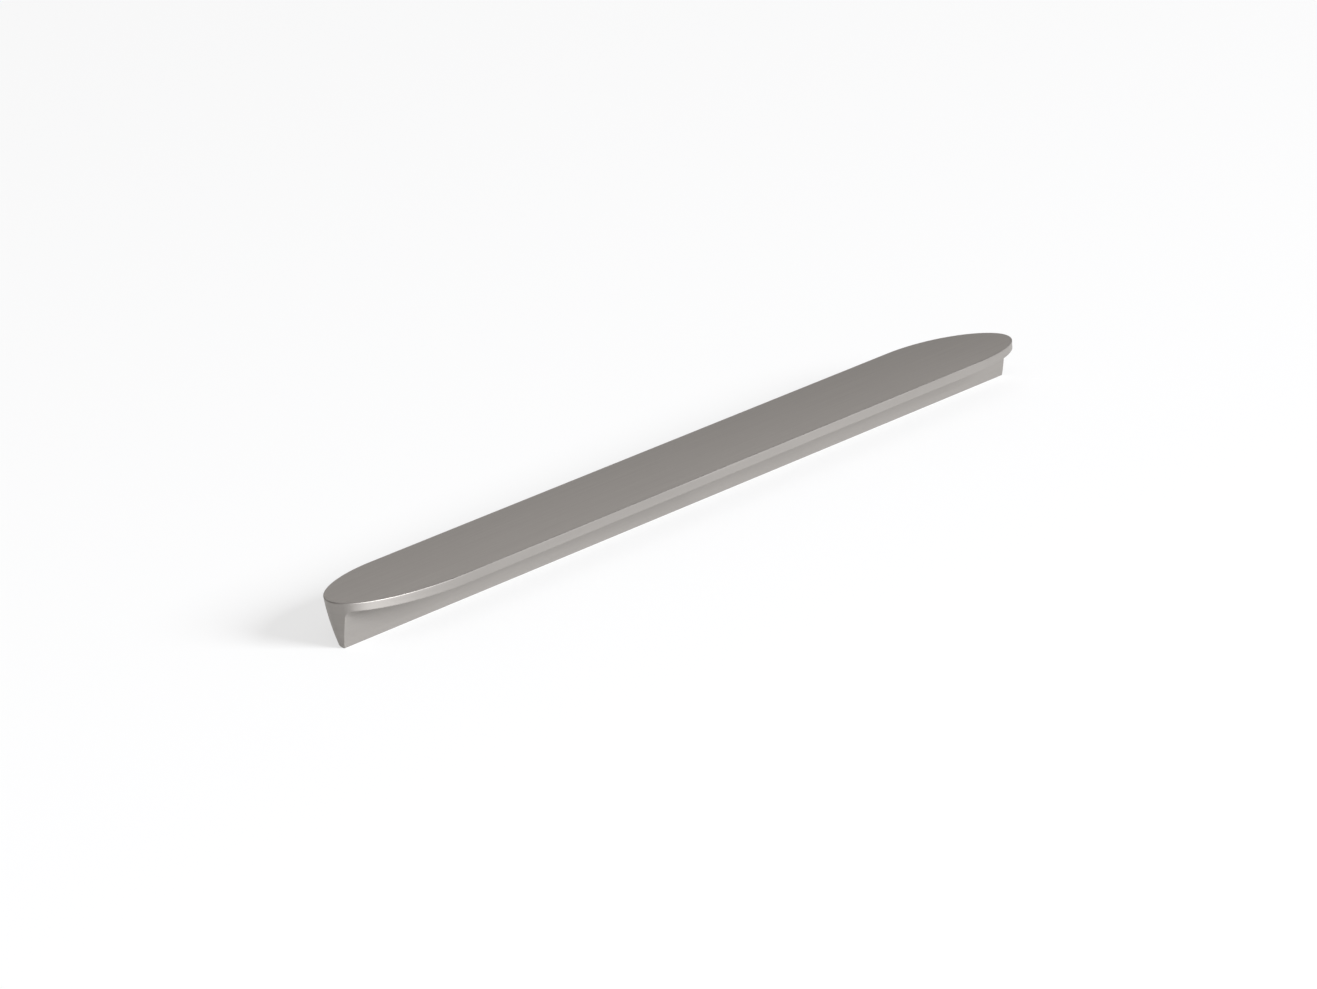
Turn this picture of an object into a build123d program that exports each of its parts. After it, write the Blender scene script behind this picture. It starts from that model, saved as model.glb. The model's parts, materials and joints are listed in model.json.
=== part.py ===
from build123d import *
from math import radians, tan
import os

os.makedirs("parts", exist_ok=True)

# Plate seen from above, in millimetres; the height is that of its long edges
strip_length = 400.0
strip_width = 29.8
strip_height = 13.0
end_round_length = 44.5

# Shallow hollow along the middle of the top
top_hollow_depth = 0.6

# Lip along the front and the finger recess below it
lip_thickness = 2.9
lip_overhang = 12.3
recess_corner_radius = 1.8
leg_lean_angle = 3.4

# Back and ends drawn in on their way down to the foot
foot_back_inset = 6.0
foot_end_inset = 0.9
flank_bulge = 0.11

# Softened edges
top_edge_radius = 0.3
small_edge_radius = 0.2

# Tapped blind holes in the foot, at the outer radius of their M4 thread
hole_spacing = 320.0
hole_radius = 2.0
hole_depth = 8.0
drill_point_angle = 118.0
hole_mouth_chamfer = 0.4

# Heights and lines that follow from the sizes above
front_line = -strip_width / 2
ceiling_height = strip_height - lip_thickness
leg_top_line = front_line + lip_overhang
leg_foot_line = leg_top_line + ceiling_height * tan(radians(leg_lean_angle))
foot_back_line = strip_width / 2 - foot_back_inset
foot_middle_line = (leg_foot_line + foot_back_line) / 2
blank_height = strip_height + top_hollow_depth
hollow_radius = (strip_width ** 2 / 4 + top_hollow_depth ** 2) / (2 * top_hollow_depth)


def inset_share(height):
    """Share of the foot's inset at one height: 1 at the foot, 0 at the plate, less in between."""
    drop = 1 - height / strip_height
    return drop * (1 - 4 * flank_bulge) + drop ** 2 * 4 * flank_bulge


def outline(height):
    """Closed outline at one height: straight sides with half an ellipse at each end."""
    back = strip_width / 2 - foot_back_inset * inset_share(height)
    middle = (front_line + back) / 2
    half_width = (back - front_line) / 2
    straight = strip_length / 2 - end_round_length
    reach = end_round_length - foot_end_inset * inset_share(height)
    with BuildSketch(Plane.XY.offset(height)) as shape:
        with BuildLine():
            Line((-straight, front_line), (straight, front_line))
            EllipticalCenterArc((straight, middle), reach, half_width, start_angle=-90, arc_size=180)
            Line((straight, back), (-straight, back))
            EllipticalCenterArc((-straight, middle), reach, half_width, start_angle=90, arc_size=180)
        make_face()
    return shape.sketch


# Full body, a little higher than the strip, with flanks that swell between foot and plate
body = loft([outline(0).face(), outline(blank_height / 2).face(), outline(blank_height).face()])

# Hollow top: a wide arc across the strip, from one long edge of the plate to the other
hollow = Cylinder(hollow_radius, 2 * strip_length)
body = body - Pos(0, 0, strip_height - top_hollow_depth + hollow_radius) * Rot(Y=-90) * hollow

# Finger recess cut along the whole front, below the lip
with BuildPart() as recess:
    with BuildSketch(Plane.YZ):
        with BuildLine():
            Polyline(
                (front_line - strip_width, -strip_height),
                (leg_foot_line + strip_height * tan(radians(leg_lean_angle)), -strip_height),
                (leg_top_line, ceiling_height),
                (front_line - strip_width, ceiling_height),
                close=True,
            )
        make_face()
    extrude(amount=strip_length, both=True)
    corner = recess.edges().filter_by(Axis.X).sort_by(Axis.Z)[-2:].sort_by(Axis.Y)[-1]
    fillet(corner, recess_corner_radius)
body = body - recess.part

# Rounded edge all round the hollow top
hollow_face = body.faces().sort_by(Axis.Z)[-1]
body = fillet(hollow_face.edges(), top_edge_radius)

# Softened edges of lip, leg and foot; the two lines where the recess corner runs out stay smooth
lip_middle = strip_height - lip_thickness / 2
lower_edges = body.edges().filter_by(lambda edge: edge.center().Z < lip_middle)
runout_lines = lower_edges.filter_by(GeomType.LINE).filter_by(lambda edge: edge.center().Z > small_edge_radius)
body = fillet(lower_edges - runout_lines, small_edge_radius)

# Tapped hole with its drill point and chamfered mouth
point_depth = hole_radius / tan(radians(drill_point_angle / 2))
mouth_radius = hole_radius + hole_mouth_chamfer
for side in (-1, 1):
    place = Pos(side * hole_spacing / 2, foot_middle_line, 0)
    bore = Cylinder(hole_radius, hole_depth, align=(Align.CENTER, Align.CENTER, Align.MIN))
    point = Cone(hole_radius, 0, point_depth, align=(Align.CENTER, Align.CENTER, Align.MIN))
    mouth = Cone(mouth_radius, hole_radius, hole_mouth_chamfer, align=(Align.CENTER, Align.CENTER, Align.MIN))
    body = body - place * bore - place * Pos(0, 0, hole_depth) * point - place * mouth

handle_strip = body.solid()
handle_strip.label = "handle_strip"
export_step(handle_strip, "parts/handle_strip.step")
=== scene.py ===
import json
import logging
import math
from collections.abc import Callable
from dataclasses import dataclass, field
from enum import Enum
from typing import Any

import bpy
from mathutils import Matrix, Vector


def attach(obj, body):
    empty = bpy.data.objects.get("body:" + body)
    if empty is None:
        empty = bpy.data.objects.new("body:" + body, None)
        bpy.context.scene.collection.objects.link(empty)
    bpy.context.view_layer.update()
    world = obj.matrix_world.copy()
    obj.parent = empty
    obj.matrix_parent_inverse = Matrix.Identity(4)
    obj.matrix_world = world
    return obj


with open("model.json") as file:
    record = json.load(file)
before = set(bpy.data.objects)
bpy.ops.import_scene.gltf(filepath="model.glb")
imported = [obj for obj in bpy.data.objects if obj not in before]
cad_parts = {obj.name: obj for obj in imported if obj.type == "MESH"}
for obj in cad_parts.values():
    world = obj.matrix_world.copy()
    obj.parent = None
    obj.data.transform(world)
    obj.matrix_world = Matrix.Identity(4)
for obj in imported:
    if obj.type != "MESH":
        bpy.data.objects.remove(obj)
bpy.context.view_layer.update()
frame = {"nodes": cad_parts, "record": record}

MM = 0.001
LOG = logging.getLogger("handle_strip")


class End(Enum):
    """The two ends of the strip, as the direction of each along X."""

    LEFT = -1
    RIGHT = 1


class Ray(Enum):
    """Light path outputs that see the paper in its own white."""

    CAMERA = "Is Camera Ray"
    GLOSSY = "Is Glossy Ray"
    TRANSMISSION = "Is Transmission Ray"


def linear_colour(code: str) -> tuple[float, float, float, float]:
    """Turns an sRGB hex code into a linear colour.

    Args:
        code: Six hex digits, such as "9c9894".

    Returns:
        Red, green, blue and an alpha of 1, linear.
    """
    shares = [int(code[i:i + 2], 16) / 255 for i in (0, 2, 4)]
    red, green, blue = [s / 12.92 if s <= 0.04045 else ((s + 0.055) / 1.055) ** 2.4 for s in shares]
    return red, green, blue, 1.0


def add_node(
    tree: bpy.types.NodeTree,
    kind: str,
    settings: dict[str | int, Any] | None = None,
    links: dict[str | int, bpy.types.NodeSocket] | None = None,
) -> bpy.types.Node:
    """Adds one node with its settings and the links into it.

    Args:
        tree: The node tree it goes into.
        kind: Blender's identifier of the node.
        settings: Values by name: an attribute of the node, or else an input socket by name or number.
        links: The output that feeds each input socket, by the input's name or number.

    Returns:
        The new node.
    """
    node = tree.nodes.new(kind)
    for name, value in (settings or {}).items():
        if isinstance(name, str) and hasattr(node, name):
            setattr(node, name, value)
        else:
            node.inputs[name].default_value = value
    for name, output in (links or {}).items():
        tree.links.new(output, node.inputs[name])
    return node


def new_material(name: str) -> tuple[bpy.types.Material, bpy.types.NodeTree]:
    """Makes a material with an empty node tree.

    Args:
        name: The material's name.

    Returns:
        The material and its tree.
    """
    material = bpy.data.materials.new(name)
    material.use_nodes = True
    material.node_tree.nodes.clear()
    return material, material.node_tree


def direct_view(tree: bpy.types.NodeTree) -> bpy.types.NodeSocket:
    """Adds the test for rays that look at the paper, straight or in a reflection.

    Args:
        tree: The tree of the paper's material.

    Returns:
        A value of 1 for such rays and 0 for the rest.
    """
    path = add_node(tree, "ShaderNodeLightPath")
    seen = path.outputs[Ray.CAMERA.value]
    for ray in (Ray.GLOSSY, Ray.TRANSMISSION):
        either = add_node(
            tree, "ShaderNodeMath", {"operation": "MAXIMUM"}, {0: seen, 1: path.outputs[ray.value]}
        )
        seen = either.outputs[0]
    return seen


def deselect_all() -> None:
    """Leaves nothing selected, in object mode."""
    if bpy.context.mode != "OBJECT":
        bpy.ops.object.mode_set(mode="OBJECT")
    bpy.ops.object.select_all(action="DESELECT")


def select_vertices(piece: bpy.types.Object, wanted: Callable[[Vector], bool]) -> None:
    """Selects the vertices of a piece in edit mode by their place.

    Args:
        piece: The object being edited.
        wanted: A test on a vertex's place in the object.
    """
    bpy.ops.mesh.select_mode(type="VERT")
    bpy.ops.mesh.select_all(action="DESELECT")
    bpy.ops.object.mode_set(mode="OBJECT")
    for vertex in piece.data.vertices:
        vertex.select = wanted(vertex.co)
    bpy.ops.object.mode_set(mode="EDIT")


def direction(azimuth: float, elevation: float) -> Vector:
    """Turns two angles into a direction out from the strip.

    Args:
        azimuth: Degrees from -Y towards -X.
        elevation: Degrees above the floor.

    Returns:
        A unit vector.
    """
    turn, rise = math.radians(azimuth), math.radians(elevation)
    return Vector((-math.sin(turn) * math.cos(rise), -math.cos(turn) * math.cos(rise), math.sin(rise)))


@dataclass(frozen=True)
class SatinAluminium:
    """Extruded aluminium, fine-ground along its length and anodised in a stainless-steel tone.

    The belt leaves fine lines that run along the strip and round its ends, and the
    anodic film over them is matt, so lights show as broad soft patches, never sharp.
    """

    name: str = "satin_anodised_aluminium"
    tone: str = "9c9894"
    light_tone: str = "a39f9b"
    # How far the colour goes to the light tone: everywhere, with the lines and with the clouds
    light_base: float = 0.3
    light_with_lines: float = 0.4
    light_with_clouds: float = 0.6
    roughness: float = 0.56
    roughness_spread: float = 0.05
    line_length_mm: float = 70.0
    # Real grinding lines are near 0.1 mm apart; drawn 0.8 mm apart so that they show
    line_pitch_mm: float = 0.8
    line_depth_mm: float = 0.004
    line_detail: float = 4.0
    line_harshness: float = 0.65
    # The noise of the lines stays within these values nearly everywhere
    line_low: float = 0.3
    line_high: float = 0.7
    # The film's matt grain is finer too; drawn at 0.5 mm for the same reason
    grain_mm: float = 0.5
    grain_depth_mm: float = 0.0015
    cloud_mm: float = 90.0
    soft_detail: float = 2.0
    # A face counts as flat when the upright part of its normal is larger than this
    flat_above: float = 0.7

    def lines(self, tree: bpy.types.NodeTree, place: bpy.types.Node) -> bpy.types.NodeSocket:
        """Adds the grinding lines, along X on flat faces and round the contour on upright ones.

        Args:
            tree: The material's tree.
            place: The Texture Coordinate node.

        Returns:
            The lines as a value from 0 to 1.
        """
        along, across = 1 / (self.line_length_mm * MM), 1 / (self.line_pitch_mm * MM)
        spot = add_node(tree, "ShaderNodeSeparateXYZ", links={0: place.outputs["Object"]})
        x, y, z = (spot.outputs[axis] for axis in "XYZ")
        run = add_node(tree, "ShaderNodeMath", {"operation": "ADD"}, {0: x, 1: y})
        upright = add_node(tree, "ShaderNodeCombineXYZ", links={"X": run.outputs[0], "Y": z})
        flat = add_node(tree, "ShaderNodeCombineXYZ", links={"X": x, "Y": y})
        facing = add_node(tree, "ShaderNodeSeparateXYZ", links={0: place.outputs["Normal"]})
        level = add_node(tree, "ShaderNodeMath", {"operation": "ABSOLUTE"}, {0: facing.outputs["Z"]})
        is_flat = add_node(
            tree, "ShaderNodeMath", {"operation": "GREATER_THAN", 1: self.flat_above}, {0: level.outputs[0]}
        )
        path = add_node(
            tree, "ShaderNodeMix", {"data_type": "VECTOR"},
            {0: is_flat.outputs[0], 4: upright.outputs[0], 5: flat.outputs[0]},
        )
        scaled = add_node(
            tree, "ShaderNodeMapping", {"Scale": (along, across, 1.0)}, {"Vector": path.outputs[1]}
        )
        noise = add_node(
            tree, "ShaderNodeTexNoise",
            {"Scale": 1.0, "Detail": self.line_detail, "Roughness": self.line_harshness},
            {"Vector": scaled.outputs[0]},
        )
        return noise.outputs[0]

    def mottle(
        self, tree: bpy.types.NodeTree, place: bpy.types.Node, size_mm: float
    ) -> bpy.types.NodeSocket:
        """Adds soft even noise.

        Args:
            tree: The material's tree.
            place: The Texture Coordinate node.
            size_mm: How large its patches are.

        Returns:
            The noise as a value from 0 to 1.
        """
        noise = add_node(
            tree, "ShaderNodeTexNoise", {"Scale": 1 / (size_mm * MM), "Detail": self.soft_detail},
            {"Vector": place.outputs["Object"]},
        )
        return noise.outputs[0]

    def colour(
        self, tree: bpy.types.NodeTree, lines: bpy.types.NodeSocket, cloud: bpy.types.NodeSocket
    ) -> bpy.types.NodeSocket:
        """Adds the metal's colour, between its two tones.

        Args:
            tree: The material's tree.
            lines: The grinding lines.
            cloud: The broad clouds.

        Returns:
            The colour.
        """
        lined = add_node(
            tree, "ShaderNodeMath",
            {"operation": "MULTIPLY_ADD", 1: self.light_with_lines, 2: self.light_base}, {0: lines},
        )
        share = add_node(
            tree, "ShaderNodeMath", {"operation": "MULTIPLY_ADD", 1: self.light_with_clouds},
            {0: cloud, 2: lined.outputs[0]},
        )
        mixed = add_node(
            tree, "ShaderNodeMix",
            {"data_type": "RGBA", 6: linear_colour(self.tone), 7: linear_colour(self.light_tone)},
            {0: share.outputs[0]},
        )
        return mixed.outputs[2]

    def build(self) -> bpy.types.Material:
        """Puts the finish together.

        Returns:
            The material.
        """
        material, tree = new_material(self.name)
        place = add_node(tree, "ShaderNodeTexCoord")
        lines = self.lines(tree, place)
        cloud = self.mottle(tree, place, self.cloud_mm)
        grain = self.mottle(tree, place, self.grain_mm)
        rough = add_node(
            tree, "ShaderNodeMapRange",
            {
                "From Min": self.line_low,
                "From Max": self.line_high,
                "To Min": self.roughness - self.roughness_spread,
                "To Max": self.roughness + self.roughness_spread,
            },
            {"Value": lines},
        )
        scratched = add_node(
            tree, "ShaderNodeBump", {"Strength": 1.0, "Distance": self.line_depth_mm * MM}, {"Height": lines}
        )
        matted = add_node(
            tree, "ShaderNodeBump", {"Strength": 1.0, "Distance": self.grain_depth_mm * MM},
            {"Height": grain, "Normal": scratched.outputs[0]},
        )
        shader = add_node(
            tree, "ShaderNodeBsdfPrincipled", {"Metallic": 1.0},
            {
                "Base Color": self.colour(tree, lines, cloud),
                "Roughness": rough.outputs[0],
                "Normal": matted.outputs[0],
            },
        )
        add_node(tree, "ShaderNodeOutputMaterial", links={"Surface": shader.outputs[0]})
        return material


@dataclass(frozen=True)
class CutThread:
    """Aluminium cut by a tap: bare, brighter than the anodised skin, with fine rings of the cutting edge."""

    name: str = "tapped_bare_aluminium"
    tone: str = "b4b2af"
    roughness: float = 0.28
    roughness_spread: float = 0.06
    ring_pitch_mm: float = 0.12
    ring_depth_mm: float = 0.004
    ring_wobble: float = 0.6
    # The wave node draws 20 / (2 pi) rings to each unit of its scale
    rings_per_unit: float = 20 / math.tau

    def build(self) -> bpy.types.Material:
        """Puts the finish together.

        Returns:
            The material.
        """
        material, tree = new_material(self.name)
        place = add_node(tree, "ShaderNodeTexCoord")
        rings = add_node(
            tree, "ShaderNodeTexWave",
            {
                "bands_direction": "Z",
                "Scale": 1 / (self.ring_pitch_mm * MM * self.rings_per_unit),
                "Distortion": self.ring_wobble,
            },
            {"Vector": place.outputs["Object"]},
        )
        height = add_node(
            tree, "ShaderNodeBump", {"Strength": 1.0, "Distance": self.ring_depth_mm * MM},
            {"Height": rings.outputs[1]},
        )
        rough = add_node(
            tree, "ShaderNodeMapRange",
            {
                "To Min": self.roughness - self.roughness_spread,
                "To Max": self.roughness + self.roughness_spread,
            },
            {"Value": rings.outputs[1]},
        )
        shader = add_node(
            tree, "ShaderNodeBsdfPrincipled", {"Metallic": 1.0, "Base Color": linear_colour(self.tone)},
            {"Roughness": rough.outputs[0], "Normal": height.outputs[0]},
        )
        add_node(tree, "ShaderNodeOutputMaterial", links={"Surface": shader.outputs[0]})
        return material


@dataclass(frozen=True)
class WhitePaper:
    """Matt white background paper, seen as plain white but still taking the strip's shadow."""

    name: str = "white_paper"
    tone: str = "f4f4f4"
    # How far the paper is plain white to the eye; the rest takes the lamps and the shadow
    seen_white: float = 0.65

    def build(self) -> bpy.types.Material:
        """Puts the finish together.

        Returns:
            The material.
        """
        material, tree = new_material(self.name)
        matt = add_node(tree, "ShaderNodeBsdfDiffuse", {"Color": linear_colour(self.tone)})
        white = add_node(tree, "ShaderNodeEmission", {"Strength": 1.0})
        share = add_node(
            tree, "ShaderNodeMath", {"operation": "MULTIPLY", 1: self.seen_white}, {0: direct_view(tree)}
        )
        mixed = add_node(
            tree, "ShaderNodeMixShader", links={0: share.outputs[0], 1: matt.outputs[0], 2: white.outputs[0]}
        )
        add_node(tree, "ShaderNodeOutputMaterial", links={"Surface": mixed.outputs[0]})
        return material


@dataclass
class HandleStrip:
    """The strip itself: plate, lip, leg and foot in one piece."""

    node: str = "handle_strip"
    finish: SatinAluminium = field(default_factory=SatinAluminium)

    def dress(self) -> bpy.types.Object:
        """Gives the CAD solid its finish.

        Returns:
            The dressed node.
        """
        strip = frame["nodes"][self.node]
        material = self.finish.build()
        strip.data.materials.clear()
        strip.data.materials.append(material)
        LOG.info("%s dressed in %s", self.node, material.name)
        return strip


@dataclass
class ThreadRidge:
    """The ridge of an M4 thread, wound up the wall of one tapped hole in the foot."""

    end: End
    centre: Vector
    wall_radius_mm: float
    pitch_mm: float = 0.7
    turns: int = 9
    steps: int = 36
    ridge_height_mm: float = 0.38
    root_width_mm: float = 0.6
    crest_width_mm: float = 0.18
    # How far the ridge sinks into the wall, so that no gap shows
    seat_mm: float = 0.02
    start_mm: float = 0.8
    merge_mm: float = 0.001
    smooth_below_deg: float = 30.0
    slot: str = "satin_metal"

    def build(self, material: bpy.types.Material) -> bpy.types.Object:
        """Winds the ridge and closes its ends.

        Args:
            material: The finish of a tapped hole.

        Returns:
            The ridge, with its place in its mesh.
        """
        deselect_all()
        half = (self.ridge_height_mm + self.seat_mm) / 2 * MM
        middle = self.wall_radius_mm * MM + self.seat_mm * MM - half
        bpy.ops.mesh.primitive_plane_add(size=2 * half, location=self.centre, rotation=(math.pi / 2, 0, 0))
        ridge = bpy.context.active_object
        ridge.name = f"thread_{self.end.name.lower()}"
        bpy.ops.object.transform_apply(location=False, rotation=True, scale=True)
        self.shape_profile(ridge, half, middle)
        wind = ridge.modifiers.new("wind", "SCREW")
        wind.axis = "Z"
        wind.steps = wind.render_steps = self.steps
        wind.screw_offset = self.pitch_mm * MM
        wind.iterations = self.turns
        wind.use_merge_vertices = False
        bpy.ops.object.modifier_apply(modifier=wind.name)
        self.close_ends()
        bpy.ops.object.transform_apply(location=True, rotation=True, scale=True)
        ridge.data.materials.append(material)
        bpy.ops.object.shade_smooth_by_angle(angle=math.radians(self.smooth_below_deg))
        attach(ridge, "root")
        LOG.info("%s wound, %d turns", ridge.name, self.turns)
        return ridge

    def shape_profile(self, ridge: bpy.types.Object, half: float, middle: float) -> None:
        """Turns the square into the ridge's cross-section and sets it against the wall.

        Args:
            ridge: The square, in the XZ plane.
            half: Half of the square's side, in metres.
            middle: Where its middle goes, out from the hole's axis, in metres.
        """
        bpy.ops.object.mode_set(mode="EDIT")
        bpy.ops.mesh.select_all(action="SELECT")
        bpy.ops.mesh.delete(type="ONLY_FACE")
        for inner, width in ((True, self.crest_width_mm), (False, self.root_width_mm)):
            select_vertices(ridge, lambda spot: (spot.x < 0) == inner)
            bpy.ops.transform.resize(value=(1, 1, width * MM / (2 * half)), center_override=self.centre)
        bpy.ops.mesh.select_all(action="SELECT")
        bpy.ops.transform.translate(value=(middle, 0, self.start_mm * MM))
        bpy.ops.object.mode_set(mode="OBJECT")

    def close_ends(self) -> None:
        """Caps both four-sided ends of the wound ridge, which is active, and turns its faces outwards."""
        bpy.ops.object.mode_set(mode="EDIT")
        bpy.ops.mesh.select_all(action="SELECT")
        bpy.ops.mesh.remove_doubles(threshold=self.merge_mm * MM)
        bpy.ops.mesh.fill_holes(sides=4)
        bpy.ops.mesh.select_all(action="SELECT")
        bpy.ops.mesh.normals_make_consistent(inside=False)
        bpy.ops.object.mode_set(mode="OBJECT")


@dataclass
class ScrewHoles:
    """Both tapped holes, placed by the record's bolt pattern."""

    mount: str = "screw_holes"
    finish: CutThread = field(default_factory=CutThread)

    def build(self) -> list[bpy.types.Object]:
        """Builds the thread of each hole.

        Returns:
            The two ridges.
        """
        pattern = next(m for m in frame["record"]["mounts"] if m["name"] == self.mount)
        reach = pattern["dims"]["spacing_x_mm"] / 2 * MM
        material = self.finish.build()
        ridges = []
        for end in End:
            centre = Vector(pattern["pos_m"]) + Vector((end.value * reach, 0, 0))
            ridge = ThreadRidge(end, centre, pattern["dims"]["hole_r_mm"])
            ridges.append(ridge.build(material))
        return ridges


@dataclass
class Backdrop:
    """A sheet of white paper that the strip stands on, far wider than the view. Its side is in metres."""

    side: float = 30.0
    finish: WhitePaper = field(default_factory=WhitePaper)

    def build(self) -> bpy.types.Object:
        """Lays the sheet.

        Returns:
            The sheet.
        """
        deselect_all()
        bpy.ops.mesh.primitive_plane_add(size=self.side)
        sheet = bpy.context.active_object
        sheet.name = "white_sheet"
        sheet.data.materials.append(self.finish.build())
        LOG.info("%s laid", sheet.name)
        return sheet


@dataclass(frozen=True)
class Softbox:
    """A rectangular soft light aimed at the strip. Lengths are in metres, angles in degrees."""

    name: str
    azimuth: float
    elevation: float
    distance: float
    width: float
    height: float
    watts: float
    tone: str

    def build(self) -> bpy.types.Object:
        """Hangs the light at its azimuth, measured from -Y towards -X.

        Returns:
            The lamp.
        """
        lamp = bpy.data.lights.new(self.name, "AREA")
        lamp.shape = "RECTANGLE"
        lamp.size, lamp.size_y = self.width, self.height
        lamp.energy = self.watts
        lamp.color = linear_colour(self.tone)[:3]
        box = bpy.data.objects.new(self.name, lamp)
        bpy.context.scene.collection.objects.link(box)
        away = direction(self.azimuth, self.elevation)
        box.location = away * self.distance
        box.rotation_euler = away.to_track_quat("Z", "Y").to_euler()
        LOG.info("%s hung", self.name)
        return box


# In front, for the lip's bright face and the leg
KEY_SOFTBOX = Softbox(
    "key_softbox", azimuth=-6.0, elevation=25.0, distance=5.0,
    width=3.6, height=2.0, watts=455.0, tone="f8fafd",
)
# Low behind the far end, mirrored softly in the hollow top
BACK_SOFTBOX = Softbox(
    "back_softbox", azimuth=-130.0, elevation=16.0, distance=2.4,
    width=1.2, height=0.6, watts=3.5, tone="fffaf6",
)
# At the left, for the end that is nearest to the camera
LEFT_SOFTBOX = Softbox(
    "left_softbox", azimuth=80.0, elevation=50.0, distance=1.6,
    width=0.9, height=0.9, watts=2.5, tone="ffffff",
)


@dataclass(frozen=True)
class StudioRoom:
    """The room round the table: even pale walls on every side and above."""

    tone: str = "fffcfa"
    strength: float = 0.33

    def build(self) -> bpy.types.World:
        """Lights the room.

        Returns:
            The world, set on the scene.
        """
        world = bpy.data.worlds.new("studio_room")
        world.use_nodes = True
        tree = world.node_tree
        tree.nodes.clear()
        room = add_node(
            tree, "ShaderNodeBackground", {"Color": linear_colour(self.tone), "Strength": self.strength}
        )
        add_node(tree, "ShaderNodeOutputWorld", links={"Surface": room.outputs[0]})
        bpy.context.scene.world = world
        LOG.info("%s lit", world.name)
        return world


@dataclass(frozen=True)
class ProductCamera:
    """The camera at the photograph's angle: from the front left, low, through a long lens.

    Lengths are in metres, angles in degrees. All of them come from a fit of the strip's
    edges to those in the photograph.
    """

    azimuth: float = 62.272
    elevation: float = 12.5
    distance: float = 2.9386
    plate_height: float = 0.012876
    pan_right: float = 0.007848
    pan_up: float = 0.010151
    focal_px: float = 10469.6
    image_width_px: float = 1317.0
    sensor_mm: float = 36.0
    nearest: float = 0.05
    farthest: float = 100.0

    def build(self) -> bpy.types.Object:
        """Sets up the camera.

        Returns:
            The camera, set on the scene.
        """
        away = direction(self.azimuth, self.elevation)
        right = Vector((0, 0, 1)).cross(away).normalized()
        up = away.cross(right)
        aim = Vector((0, 0, self.plate_height)) - right * self.pan_right - up * self.pan_up
        lens = bpy.data.cameras.new("product_camera")
        lens.sensor_width = self.sensor_mm
        lens.lens = self.sensor_mm * self.focal_px / self.image_width_px
        lens.clip_start, lens.clip_end = self.nearest, self.farthest
        camera = bpy.data.objects.new("product_camera", lens)
        bpy.context.scene.collection.objects.link(camera)
        camera.rotation_euler = Matrix((right, up, away)).transposed().to_euler()
        camera.location = aim + away * self.distance
        bpy.context.scene.camera = camera
        LOG.info("camera set, %.0f mm lens", lens.lens)
        return camera


def main() -> None:
    """Dresses the strip, cuts its threads and sets up the studio."""
    logging.basicConfig(level=logging.INFO, format="%(name)s: %(message)s")
    HandleStrip().dress()
    ScrewHoles().build()
    Backdrop().build()
    StudioRoom().build()
    for softbox in (KEY_SOFTBOX, BACK_SOFTBOX, LEFT_SOFTBOX):
        softbox.build()
    ProductCamera().build()
    bpy.context.scene.view_settings.view_transform = "Standard"


if __name__ == "__main__":
    main()
